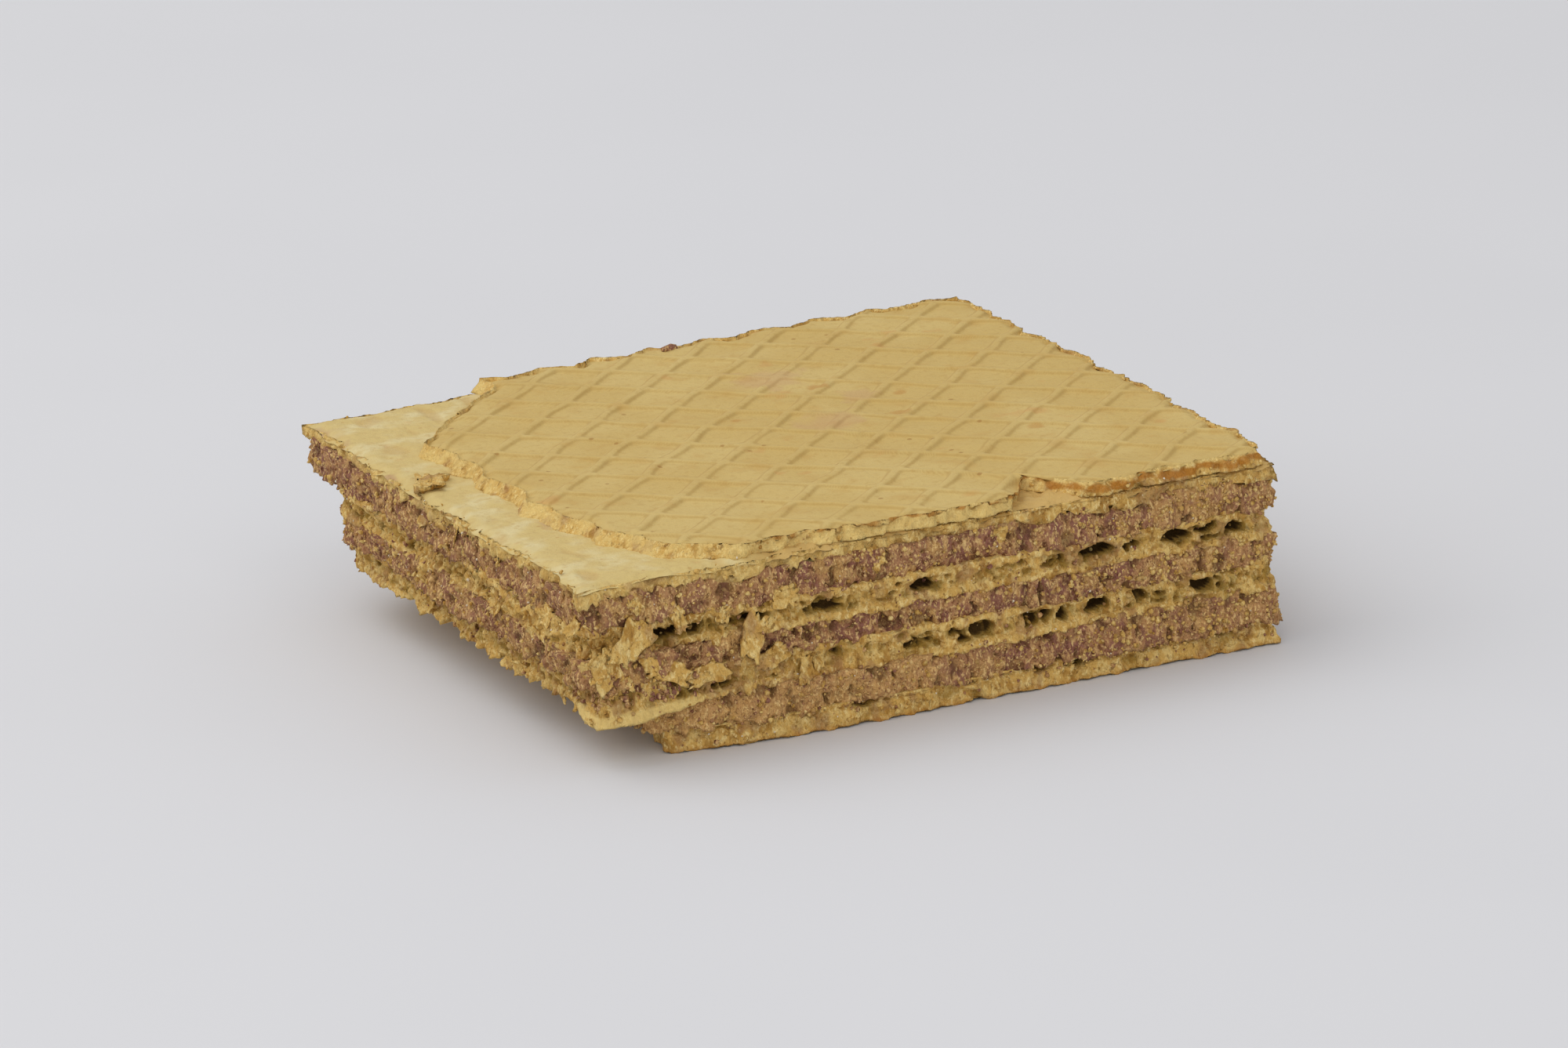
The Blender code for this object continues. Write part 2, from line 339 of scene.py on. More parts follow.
def make_tube(name, rows):
    """A closed tube of radius 1 and height 1 with the given number of rows."""
    deselect()
    bpy.ops.mesh.primitive_circle_add(vertices=COLUMNS, radius=RIM_STEPS[0], fill_type="NGON",
                                      location=(0.0, 0.0, 0.0))
    tube = bpy.context.object
    tube.name = tube.data.name = name
    bpy.ops.object.mode_set(mode="EDIT")
    bpy.ops.mesh.select_all(action="SELECT")
    for start, end in zip(RIM_STEPS, RIM_STEPS[1:]):
        resize_loop(start, end)
    for _ in range(rows):
        bpy.ops.mesh.extrude_edges_move(TRANSFORM_OT_translate={"value": (0.0, 0.0, 1.0 / rows)})
    outward = RIM_STEPS[::-1]
    for start, end in zip(outward, outward[1:]):
        resize_loop(start, end)
    bpy.ops.mesh.edge_face_add()
    bpy.ops.object.mode_set(mode="OBJECT")
    face_outward(tube)
    return tube


# %% [markdown]
# ## Bend a tube into a layer
# Round the tube, every point looks up its place on the layer's outline and the direction that
# faces away from the biscuit. Moving it against that direction digs a hollow, moving it along
# that direction raises a crumb.

# %% The outline as a ring of places
GAP = 0.3 * MM
SQUARENESS = 14.0
CORNER_WEAR = 0.55 * MM


def outward_of(u, v):
    """The direction that faces away from the biscuit at a place on its rim."""
    across, deep = 2.0 * u - 1.0, 2.0 * v - 1.0
    x = math.copysign(abs(across) ** SQUARENESS, across)
    y = math.copysign(abs(deep) ** SQUARENESS, deep)
    return Vector((x, y, 0.0)).normalized()


def outline(name, kind, seed):
    """Places round one ring: x, y, the outward direction and the distances along two sides."""
    places = []
    for step in range(COLUMNS):
        u, v = walk_square(step / COLUMNS)
        along, back = u * SIDE, v * SIDE
        left, right, front, rear = side_insets(name, along, back, False)
        out = edge_roughness(kind, along, back, seed)
        out -= CORNER_WEAR * abs((2.0 * u - 1.0) * (2.0 * v - 1.0)) ** SQUARENESS
        x = blend(-SIDE / 2 + left - out, SIDE / 2 - right + out, u) + SHIFT_X
        y = blend(-SIDE / 2 + front - out, SIDE / 2 - rear + out, v) + SHIFT_Y
        places.append((x, y, outward_of(u, v), along, back))
    return places


def tube_place(point):
    """Which column a tube's point is in, its height share and its radius."""
    share = (math.atan2(point.y, point.x) + 0.75 * math.pi) / (2.0 * math.pi)
    return round(share * COLUMNS) % COLUMNS, clamp(point.z), math.hypot(point.x, point.y)


def between(lower, upper, floor, ceiling, level):
    """A point of a layer, between a place on its lower outline and one on its upper outline."""
    x, y = blend(lower[0], upper[0], level), blend(lower[1], upper[1], level)
    return Vector((x, y, blend(floor, ceiling, level)))


def rim_inset(radius):
    """How far the flat rims inside a tube's ends stand in from its edge."""
    return 0.0 if radius > 0.99 else (1.6 if radius > 0.95 else 4.5) * MM


# %% [markdown]
# ## Wafer sheets
# A wafer is baked from thin batter between two hot plates. Steam blows its middle into a dry foam
# while both faces dry to smooth skins. Where the sheet breaks, the skins stand out as two thin
# lines and the foam between them shows as a row of torn bubbles.

# %% The broken edge of a wafer sheet
clinging = {name: [] for name in NODES}  # places on the broken edges, for the crumbs later on
CAVITY_DEPTH = 1.1 * MM
CAVITY_LENGTH = 2.6 * MM
SHEET_ROWS = 18
BUBBLE_SIZE = 0.95 * MM
PORE_SIZE = 0.45 * MM
PORE_DEPTH = 0.3 * MM
FOAM_DEPTH = 0.12 * MM
CHIP_INSET = 0.4 * MM
CHIP_LENGTH = 1.7 * MM
CRUMB_RELIEF = ((0.16, 0.6), (0.13, 0.27))  # depth and length of the fine crumbs, millimetres
RAGGED = 0.3 * MM
RAGGED_LENGTH = 0.55 * MM
TORN_FRONT = 8.0 * MM
TORN_LEFT = 26.0 * MM
TORN_FADE = 6.0 * MM
TORN_RIGHT = 5.0 * MM
SHELL_REACH = 9.5 * MM
SHELL_DROP = 0.75 * MM
SHELL_BULGE = 0.35 * MM
SHEET_SEEDS = {"wafer_bottom": 0, "wafer_lower": 2, "wafer_upper": 4, "wafer_top": 6}

# Deep hollows seen in the front edge: distance from the left, width, share of the height, depth
FRONT_HOLLOWS = {
    "wafer_upper": ((4.6, 2.6, 0.50, 1.6), (7.0, 1.2, 0.50, 1.3), (10.9, 1.7, 0.50, 1.2),
                    (15.6, 1.6, 0.50, 1.2), (21.7, 1.1, 0.52, 1.5), (33.0, 1.2, 0.58, 1.6),
                    (35.4, 0.8, 0.50, 1.0), (38.3, 1.9, 0.56, 1.5), (40.3, 1.0, 0.60, 1.1),
                    (42.3, 1.7, 0.50, 1.5)),
    "wafer_lower": ((24.9, 1.3, 0.50, 1.0), (28.4, 0.9, 0.46, 1.2), (30.4, 0.8, 0.42, 1.3),
                    (32.8, 1.1, 0.54, 1.6), (35.9, 0.9, 0.52, 1.0), (39.9, 1.0, 0.56, 1.4)),
    "wafer_bottom": ((14.2, 1.6, 0.86, 0.8), (30.3, 1.3, 0.84, 1.3), (27.6, 1.0, 0.86, 0.8)),
}


def front_hollow(name, along, back, level):
    """How deep the named hollows reach at a place on the front edge."""
    if back > 0.0:
        return 0.0
    deepest = 0.0
    for centre, width, height, depth in FRONT_HOLLOWS.get(name, ()):
        across = (along / MM - centre) / (width / 2)
        rise = (level - height) / 0.16
        fall = across * across + rise * rise
        if fall < 4.0:
            deepest = max(deepest, depth * MM * smooth_step(1.35 - 0.62 * fall))
    return deepest


def foam_band(name, level):
    """1 in the foam between the skins and 0 on the skins."""
    low, high = (0.66, 0.97) if name == "wafer_bottom" else (0.14, 0.84)
    return smooth_step((level - low) / 0.16) * smooth_step((high - level) / 0.16)


def torn_share(along, back):
    """1 round the front left corner and along the left side, where the layers are torn, to 0.

    The front right corner is a little torn too.
    """
    front = smooth_step(1.0 - (along - TORN_FRONT) / TORN_FADE)
    left = 1.0 if along < TORN_FRONT else 0.0
    left *= smooth_step(1.0 - (back - TORN_LEFT) / (2.0 * TORN_FADE))
    right = 0.6 * smooth_step(1.0 - (SIDE - along + back) / TORN_RIGHT)
    return max(front if back < 0.5 * SIDE else 0.0, left, right)


def crumble(point, strength=1.0):
    """The fine crumbs of a broken edge, in two sizes."""
    tall = Vector((point.x, point.y, 0.65 * point.z))
    return strength * sum(depth * MM * ripple(tall, length) for depth, length in CRUMB_RELIEF)


def sheet_inset(name, point, along, back, level, seed):
    """How far a broken wafer edge is dug in at a point: the foam's torn bubbles and the chips."""
    band = foam_band(name, level)
    open_stretch = smooth_step(0.5 + 1.5 * wobble((along, back, 0.0), CAVITY_LENGTH, seed + 11.0))
    strayed = noise.noise_vector(point / RAGGED_LENGTH)
    ragged = point + RAGGED * strayed
    big = bubble(Vector((ragged.x, ragged.y, ragged.z * 1.5)), BUBBLE_SIZE, seed)
    small = bubble(ragged, PORE_SIZE, seed + 1.0)
    foam = FOAM_DEPTH + CAVITY_DEPTH * (0.15 + 0.85 * open_stretch) * big + PORE_DEPTH * small
    chipped = wobble((along, back, level * 2.0 * MM), CHIP_LENGTH, seed + 3.0)
    chip = CHIP_INSET * smooth_step(3.0 * chipped - 0.6)
    hollow_shade = front_hollow(name, along + 2.0 * RAGGED * strayed.x, back, level + 0.16 * strayed.y)
    return max(band * foam, hollow_shade) + (1.0 - band) * chip


def border_lift(point, level, torn):
    """How far the border between two layers strays up or down at the edge of the biscuit."""
    stray = 0.2 * ripple(point, 0.9) + 0.16 * ripple(point, 0.34)
    return stray * (1.0 + 1.2 * torn) * MM * abs(2.0 * level - 1.0) ** 3


def shell_droop(name, along, back, level):
    """The corner of the second sheet is torn: its lower skin hangs down and out as a shell."""
    if name != "wafer_lower":
        return 0.0, 0.0
    front_share = smooth_step(1.0 - along / SHELL_REACH) if back == 0.0 else 0.0
    left_share = smooth_step(1.0 - back / (0.45 * SHELL_REACH)) if along == 0.0 else 0.0
    share = max(front_share, left_share) * (1.0 - level) ** 1.5
    return SHELL_DROP * share, SHELL_BULGE * share


def bent_points(tube, name, kind, seed, seed_step):
    """Each point of a tube on its layer's outline, with what the edge rules ask for."""
    low, high = boxes[name]
    floor, ceiling = low.z - GAP / 2, high.z + GAP / 2
    lower, upper = outline(name, kind, seed), outline(name, kind, seed + seed_step)
    for vertex in tube.data.vertices:
        column, level, radius = tube_place(vertex.co)
        outward, along, back = lower[column][2:]
        point = between(lower[column], upper[column], floor, ceiling, level)
        yield point, level, radius, outward, along, back, torn_share(along, back)


def shape_sheet(name):
    """One inner wafer sheet, bent from a tube."""
    seed = SHEET_SEEDS[name]
    sheet = make_tube(name + "_sheet", SHEET_ROWS)
    points, rows = [], []
    for point, level, radius, outward, along, back, torn in bent_points(sheet, name, "wafer", seed, 0.5):
        drop, bulge = shell_droop(name, along, back, level)
        whole = smooth_step(3.0 * bulge / SHELL_BULGE) * smooth_step((0.28 - level) / 0.08)
        inset = sheet_inset(name, point, along, back, level, seed) * (1.0 - whole)
        inset -= crumble(point, (1.0 + 1.3 * torn) * (1.0 - 0.75 * whole))
        # hollow_shade: how deep the edge is dug in, and a patchy band over the foam; both are painted later
        # as shade in the hollows
        shaded = foam_band(name, level) * (0.55 + 0.9 * ripple(point, 0.7))
        rows.append((clamp(max(inset / CAVITY_DEPTH, 0.45 * shaded)), level, torn, whole))
        inset -= bulge
        if radius > 0.99:
            point.z += border_lift(point, level, torn) * (1.0 - 0.8 * whole) - drop
            clinging[name].append((point - outward * inset, outward))
        points.append(point - outward * (inset + rim_inset(radius)))
    write_points(sheet, points, ("hollow_shade", "level", "torn", "peel"), rows)
    return sheet


sheets = {name: shape_sheet(name) for name in ("wafer_lower", "wafer_upper")}

# %% [markdown]
# ## Cocoa cream
# The cream is fat, sugar and cocoa, spread cold between the sheets. Sawn or broken, it crumbles
# into small grains instead of smearing, so its edge is a bank of lumps about half a millimetre
# wide, a little proud of the wafer in places.

# %% The grainy edge of a cream layer
CREAM_ROWS = 15
CREAM_SEEDS = {"cream_lower": 1, "cream_middle": 3, "cream_upper": 5}
LUMP_SIZE = 0.75 * MM
LUMP_DEPTH = 0.34 * MM
GRAIN_SIZE = 0.34 * MM
GRAIN_DEPTH = 0.26 * MM
BANK_DEPTH = 0.34 * MM
PIT_DEPTH = 0.45 * MM
CREAM_OVERLAP = 0.16 * MM


def cream_inset(point, seed):
    """How far the cream is dug in at a point, between its lumps and grains."""
    ragged = point + RAGGED * noise.noise_vector(point / RAGGED_LENGTH)
    ragged.z *= 0.75
    distances = noise.voronoi(ragged / LUMP_SIZE + Vector((seed * 3.7, 0.0, 0.0)))[0]
    lumps = LUMP_DEPTH * (distances[0] - 0.45)
    distances = noise.voronoi(ragged / GRAIN_SIZE)[0]
    grains = GRAIN_DEPTH * (distances[0] - 0.45)
    bank = BANK_DEPTH * noise.noise(point / (1.3 * MM) + Vector((0.0, seed, 0.0)))
    pitted = noise.noise(ragged / (0.7 * MM) + Vector((seed, 0.0, 0.0)))
    return lumps + grains + bank + PIT_DEPTH * smooth_step(3.0 * pitted - 0.8)


def shape_cream(name):
    """One cream layer, bent from a tube."""
    seed = CREAM_SEEDS[name]
    cream = make_tube(name + "_filling", CREAM_ROWS)
    points, rows = [], []
    for point, level, radius, outward, along, back, torn in bent_points(cream, name, "cream", seed, 0.7):
        inset = cream_inset(point, seed) - CREAM_BULGE * math.sin(math.pi * level) * 0.6
        inset += 0.2 * MM * torn * ripple(point, 0.8)
        right = smooth_step((along - 31.0 * MM) / (8.0 * MM))
        left = smooth_step((23.0 * MM - along) / (5.0 * MM)) if name == "cream_lower" else 0.0
        # hollow_shade: where the cream is dug in between its lumps, painted later as shade in the pits
        rows.append((clamp(0.5 + inset / (0.5 * MM)), torn, max(0.45 * right, left)))
        if radius > 0.99:
            point.z += CREAM_OVERLAP * (2.0 * level - 1.0) ** 3 + border_lift(point, level, torn)
            clinging[name].append((point - outward * inset, outward))
        points.append(point - outward * (inset + rim_inset(radius)))
    write_points(cream, points, ("hollow_shade", "torn", "tan"), rows)
    return cream


creams = {name: shape_cream(name) for name in CREAM_SEEDS}

# %% [markdown]
# ## Waffle pattern
# The baking plates are engraved, so the outer faces of the biscuit carry thin ridges at 45
# degrees to its edges, with shallow square cells between them.

# %% Height of the waffle pattern
RIDGE_WIDTH = 0.26 * MM
CELL_DEPTH = 0.2 * MM
CELL_SLOPE = 0.38 * MM
CELL_STRAY = 0.25 * MM
CELL_CENTRE_X = -0.45 * MM + SHIFT_X
CELL_CENTRE_Y = 3.2 * MM + SHIFT_Y


def cell_depth(x, y):
    """How deep the waffle pattern is at a place, and how much that place is part of a wall."""
    place = Vector((x, y, 0.0))
    stray = CELL_STRAY * noise.noise_vector(place / (2.6 * MM))
    x, y = x + stray.x, y + stray.y
    fullness = 0.75 + 0.7 * ripple(place, 3.4)
    rising = (x - CELL_CENTRE_X + y - CELL_CENTRE_Y) / math.sqrt(2.0) / CELL_PITCH
    falling = (x - CELL_CENTRE_X - y + CELL_CENTRE_Y) / math.sqrt(2.0) / CELL_PITCH
    first, second = 0.5 - abs(rising - round(rising)), 0.5 - abs(falling - round(falling))
    nearest = (max(first, 0.001) ** -3 + max(second, 0.001) ** -3) ** (-1 / 3)
    from_ridge = nearest * CELL_PITCH - RIDGE_WIDTH / 2
    share = smooth_step(from_ridge / CELL_SLOPE)
    return CELL_DEPTH * min(fullness, 1.0) * share, 4.0 * share * (1.0 - share)


# %% A slab with one fine face
# The slab starts as a fine grid. Its border is extruded down row by row and then closed.


def make_slab(name, grid, rows):
    """A closed slab from 0 to 1 in all directions, with a fine grid on top."""
    deselect()
    bpy.ops.mesh.primitive_grid_add(x_subdivisions=grid, y_subdivisions=grid, size=1.0,
                                    location=(0.5, 0.5, 1.0))
    slab = bpy.context.object
    slab.name = slab.data.name = name
    apply_place(slab)
    bpy.ops.object.mode_set(mode="EDIT")
    bpy.ops.mesh.select_all(action="SELECT")
    bpy.ops.mesh.region_to_loop()
    for _ in range(rows):
        bpy.ops.mesh.extrude_edges_move(TRANSFORM_OT_translate={"value": (0.0, 0.0, -1.0 / rows)})
    bpy.ops.mesh.edge_face_add()
    bpy.ops.object.mode_set(mode="OBJECT")
    return slab


def side_tables(name, seed, count, skin):
    """The four bent sides of a layer, each as a list with an entry for every grid line."""
    left, right, front, rear = [], [], [], []
    for step in range(count + 1):
        reach = step / count * SIDE
        insets = side_insets(name, reach, reach, skin)
        left.append(-SIDE / 2 + insets[0] - edge_roughness("wafer", 0.0, reach, seed))
        right.append(SIDE / 2 - insets[1] + edge_roughness("wafer", SIDE, reach, seed))
        front.append(-SIDE / 2 + insets[2] - edge_roughness("wafer", reach, 0.0, seed))
        rear.append(SIDE / 2 - insets[3] + edge_roughness("wafer", reach, SIDE, seed))
    return left, right, front, rear


def slab_place(tables, u, v):
    """Where a place (u, v) of a slab lies, between its four bent sides."""
    left, right, front, rear = tables
    count = len(left) - 1
    x = blend(left[round(v * count)], right[round(v * count)], u) + SHIFT_X
    y = blend(front[round(u * count)], rear[round(u * count)], v) + SHIFT_Y
    return x, y


# %% [markdown]
# ## The top skin
# The upper skin of the top sheet still lies on it, except along the left, where it peeled off. It
# ends in a torn edge of toasted foam, its dark line partly painted shade. Its grid bends with the four
# torn sides, so its edge stays sharp, and every point sinks by the depth of the waffle pattern.

# %% Shape the top skin
# Marks on the baked face: distance from the left and from the front, and reach
CREAM_SMUDGES = ((27.4, 33.8, 2.6), (26.6, 22.5, 2.2), (30.5, 27.0, 1.6))
SCORCHES = ((29.3, 30.2, 0.9), (31.0, 22.0, 0.7), (22.0, 26.5, 0.5), (36.5, 14.0, 0.6), (33.0, 26.4, 0.6))
FACE_LEVEL = 0.999
ON_RIM = 1e-9
PLATE_RELIEF = 0.012 * MM
SKIN_GRID = 295
SKIN_ROWS = 8
SKIN_SINK = 0.08 * MM
SKIN_WEAR = 0.16 * MM
CRUMB_FREE = 0.35 * MM
LEDGE_THICKNESS = 0.8 * MM
FEATHER_LEFT = 0.9 * MM
FEATHER_FRONT = 0.35 * MM
top_low, top_high = boxes["wafer_top"]
ledge_height = top_low.z + LEDGE_THICKNESS


def mark_share(marks, x, y):
    """1 in the middle of a mark on the baked face and 0 away from all marks."""
    strongest = 0.0
    for along, back, reach in marks:
        offset = Vector((x - cad_low.x - along * MM, y - cad_low.y - back * MM, 0.0))
        ragged = 1.0 + 0.7 * ripple(Vector((x, y, 0.0)), 1.1)
        strongest = max(strongest, smooth_step(1.3 - ragged * offset.length / (reach * MM)))
    return strongest


def toast_and_shade_share(along, v, level, point):
    """The toasted line on the torn edge, partly painted shade of the cavity under the skin: at the top as
    far as the notch, and lower beyond it.
    """
    beyond = smooth_step((along - NOTCH_TIP) / (3.0 * MM))
    middle = blend(0.88, 0.45, beyond) + 0.45 * ripple(point, 1.1)
    line = math.exp(-((level - middle) / blend(0.2, 0.28, beyond)) ** 2)
    strength = blend(0.8, 1.25, smooth_step(along / (30.0 * MM)))
    strength *= 0.8 + 0.9 * noise.noise(point / (0.8 * MM) + Vector((9.0, 0.0, 0.0)))
    return line * strength * (1.0 if v < 0.02 else 0.2)


def pale_share(along, v, level):
    """The torn edge is pale before the notch, and above the toasted and shaded line beyond it."""
    if v > 0.02:
        return 0.35
    beyond = smooth_step((along - NOTCH_TIP) / (3.0 * MM))
    return blend(0.75, 0.7 * smooth_step((level - 0.6) / 0.2), beyond)


def shape_top_skin():
    """The patterned upper skin with its torn edge."""
    skin = make_slab("top_skin", SKIN_GRID, SKIN_ROWS)
    seed = SHEET_SEEDS["wafer_top"]
    tables = side_tables("wafer_top", seed, SKIN_GRID, True)
    bottom = ledge_height - SKIN_SINK
    points, rows = [], []
    for vertex in skin.data.vertices:
        u, v, level = vertex.co
        x, y = slab_place(tables, u, v)
        x -= FEATHER_LEFT * (1.0 - level) * (1.0 - u)
        y -= FEATHER_FRONT * (1.0 - level) * (1.0 - v)
        point = Vector((x, y, blend(bottom, top_high.z, level)))
        rim = min(u, 1.0 - u, v, 1.0 - v) * SIDE
        hollow_shade = wall = toast_and_shade = peel = 0.0
        if rim < ON_RIM or level < FACE_LEVEL:
            outward = outward_of(u, v)
            torn = smooth_step((0.95 - level) / 0.3)
            big = bubble(point, BUBBLE_SIZE * 0.8, seed)
            peeled = smooth_step(1.0 - u * SIDE / (9.0 * MM)) * smooth_step(v * SIDE / (3.0 * MM))
            inset = torn * (0.05 * MM + (0.3 - 0.2 * peeled) * MM * big)
            inset -= crumble(point, 1.2 - 0.6 * peeled)
            inset += 0.25 * MM * smooth_step(3.0 * wobble(point, 1.2 * MM, seed + 3.0) - 0.4)
            if v < 0.02 and u * SIDE > NOTCH_TIP:
                inset += 0.35 * MM * smooth_step((level - 0.4) / 0.6) ** 2
            point -= outward * inset
            if peeled < 0.5 and point.z < top_high.z - CRUMB_FREE:
                clinging["wafer_top"].append((point.copy(), outward))
            # hollow_shade: how deep the torn edge is dug in, painted later as shade in its bubbles
            hollow_shade = 0.6 * clamp(inset / (0.8 * MM)) * (1.0 - peeled)
            # toast_and_shade: an orange-brown line, partly toasted skin and partly painted shade of the
            # cavity under the skin
            toast_and_shade = toast_and_shade_share(u * SIDE, v, level, point) * (1.0 - peeled)
            mottled = peeled * (0.5 + 0.7 * ripple(point, 1.2))
            peel = max(mottled, pale_share(u * SIDE, v, level) * (1.0 - peeled))
        if level > FACE_LEVEL:
            depth, wall = cell_depth(x, y)
            point.z -= depth + 0.05 * MM * (1.0 + ripple(point, 5.0))
            point.z -= PLATE_RELIEF * (1.0 + ripple(point, 0.35))
            worn = smooth_step(1.0 - rim / (0.8 * MM))
            point.z -= worn * SKIN_WEAR * (1.0 + ripple(point, 0.8))
        marks = mark_share(CREAM_SMUDGES, x, y), mark_share(SCORCHES, x, y)
        rows.append((hollow_shade, level, wall, toast_and_shade, peel, *marks))
        points.append(point)
    write_points(skin, points, ("hollow_shade", "level", "wall", "toast_and_shade", "peel", "smudge", "scorch"), rows)
    return skin


top_skin = shape_top_skin()

# %% [markdown]
# ## The peeled ledge
# Under the missing strip lies the sheet's lower skin, with a thin film of torn foam on it. It is
# paler and smoother than the baked face, with small scars where the foam tore.

# %% Shape the lower skin of the top sheet
LEDGE_GRID = 220
LEDGE_ROWS = 6
LEDGE_CROWD = 1.45
LEDGE_TABLE = 1500
LEDGE_WEAR = 0.3 * MM
LEDGE_STAINS = ((0.0, 42.5, 1.7), (0.2, 39.0, 1.2), (4.6, 14.5, 0.8), (0.3, 30.0, 0.9))


def shape_ledge():
    """The lower skin of the top sheet, with finer grid lines at the left and front."""
    ledge = make_slab("peeled_ledge", LEDGE_GRID, LEDGE_ROWS)
    seed = SHEET_SEEDS["wafer_top"]
    tables = side_tables("wafer_top", seed, LEDGE_TABLE, False)
    points, rows = [], []
    for vertex in ledge.data.vertices:
        u, v, level = vertex.co.x ** LEDGE_CROWD, vertex.co.y ** LEDGE_CROWD, vertex.co.z
        x, y = slab_place(tables, u, v)
        point = Vector((x, y, blend(top_low.z - GAP / 2, ledge_height, level)))
        rim = min(u, 1.0 - u, v, 1.0 - v) * SIDE
        tan = smooth_step((u * SIDE - 9.0 * MM) / (5.0 * MM))
        if rim < ON_RIM or level < FACE_LEVEL:
            inset = 0.25 * MM * smooth_step(3.0 * wobble(point, 1.3 * MM, seed + 2.0))
            inset += 0.3 * MM * bubble(point, PORE_SIZE * 1.3, seed) * smooth_step((0.97 - level) / 0.2)
            inset += 0.22 * MM * level ** 4 - crumble(point, 1.5)
            point -= outward_of(u, v) * inset
            point.z += border_lift(point, level, 1.0) * (1.0 - level)
            clinging["wafer_top"].append((point.copy(), outward_of(u, v)))
        if level > FACE_LEVEL:
            # hollow_shade: shallow dips in the face, sunk a little and painted darker as shade
            hollow_shade = smooth_step(2.2 * ripple(Vector((x, y * 0.45, 0.0)), 1.6) - 0.3)
            point.z += 0.07 * MM * ripple(point, 2.2) - 0.1 * MM * hollow_shade
            point.z += (0.05 + 0.16 * tan) * MM * ripple(point, 0.5)
            uneven = 1.0 + 0.8 * ripple(point, 1.5)
            point.z -= LEDGE_WEAR * uneven * smooth_step(1.0 - rim / (1.1 * MM)) ** 1.5
        else:
            # hollow_shade on the torn sides: patches that are painted dark as shade
            hollow_shade = 0.45 * smooth_step(1.5 * ripple(point, 0.45))
        peel = 0.45 - 0.35 * smooth_step((u * SIDE - 20.0 * MM) / (8.0 * MM))
        rows.append((hollow_shade, level, tan, peel, mark_share(LEDGE_STAINS, x, y)))
        points.append(point)
    write_points(ledge, points, ("hollow_shade", "level", "tan", "peel", "smudge"), rows)
    return ledge


ledge = shape_ledge()

# %% [markdown]
# ## The bottom sheet
# The underside has the same waffle pattern. The slab is used upside down: its fine face looks
# down and the ridges rest on the table.

# %% Shape the bottom sheet
BOTTOM_GRID = 230
BOTTOM_ROWS = 15


def shape_bottom():
    """The bottom sheet with its patterned underside and broken edge."""
    sheet = make_slab("wafer_bottom_sheet", BOTTOM_GRID, BOTTOM_ROWS)
    seed = SHEET_SEEDS["wafer_bottom"]
    lower = side_tables("wafer_bottom", seed, BOTTOM_GRID, False)
    upper = side_tables("wafer_bottom", seed + 0.5, BOTTOM_GRID, False)
    ceiling = boxes["wafer_bottom"][1].z + GAP / 2
    points, rows = [], []
    for vertex in sheet.data.vertices:
        u, v, down = vertex.co
        level = clamp(1.0 - down)
        x0, y0 = slab_place(lower, u, v)
        x1, y1 = slab_place(upper, u, v)
        x, y = blend(x0, x1, level), blend(y0, y1, level)
        point = Vector((x, y, ceiling * level))
        rim = min(u, 1.0 - u, v, 1.0 - v)
        hollow_shade = wall = 0.0
        if rim < ON_RIM or down < FACE_LEVEL:
            inset = sheet_inset("wafer_bottom", point, u * SIDE, v * SIDE, level, seed)
            inset -= crumble(point)
            # hollow_shade: how deep the broken edge is dug in, painted later as shade in its cavities
            hollow_shade = clamp(inset / CAVITY_DEPTH)
            point -= outward_of(u, v) * inset
            if level > 0.3:
                clinging["wafer_bottom"].append((point.copy(), outward_of(u, v)))
        if down > FACE_LEVEL:
            depth, wall = cell_depth(x, y)
            point.z += depth + PLATE_RELIEF * (1.0 + ripple(point, 0.4))
        # toast_and_shade on the bottom sheet: darker and more orange toward the table, partly toasted lower
        # skin and partly painted shade near the table
        rows.append((hollow_shade, level, wall, 0.6 * smooth_step((0.4 - level) / 0.35)))
        points.append(point)
    write_points(sheet, points, ("hollow_shade", "level", "wall", "toast_and_shade"), rows)
    return sheet


sheets["wafer_bottom"] = shape_bottom()

# %% [markdown]
# ## Flakes and crumbs
# A crisp sheet breaks into thin curled flakes and small crumbs, and some stay on the sticky cream.
# One flake and one crumb are modelled. Each is copied with its own mesh, turned and bent or
# scaled, and all copies are joined into one piece.

# %% One flake and one crumb
FLAKE_THICKNESS = 0.15 * MM
chance = random.Random(7)


def make_flake():
    """A thin square sheet, 1 long and 1 wide, with some thickness and rounded corners."""
    deselect()
    bpy.ops.mesh.primitive_grid_add(x_subdivisions=14, y_subdivisions=14, size=1.0,
                                    location=(0.0, 0.0, 0.0))
    flake = bpy.context.object
    flake.name = flake.data.name = "flake"
    for vertex in flake.data.vertices:
        angle = math.atan2(vertex.co.y, vertex.co.x)
        ragged = 0.85 + 0.3 * noise.noise(Vector((math.cos(angle), math.sin(angle), 0.0)) * 2.6)
        vertex.co.x *= ragged
        vertex.co.y *= ragged
    thicken = flake.modifiers.new("thickness", "SOLIDIFY")
    thicken.thickness = 0.1
    thicken.offset = 0.0
    bpy.ops.object.modifier_apply(modifier=thicken.name)
    return flake


def make_crumb():
    """A rounded stone of radius 1."""
    deselect()
    bpy.ops.mesh.primitive_ico_sphere_add(subdivisions=1, radius=1.0, location=(0.0, 0.0, 0.0))
    crumb = bpy.context.object
    crumb.name = crumb.data.name = "crumb"
    for vertex in crumb.data.vertices:
        vertex.co *= 1.0 + 0.8 * noise.noise(vertex.co * 1.7)
    return crumb


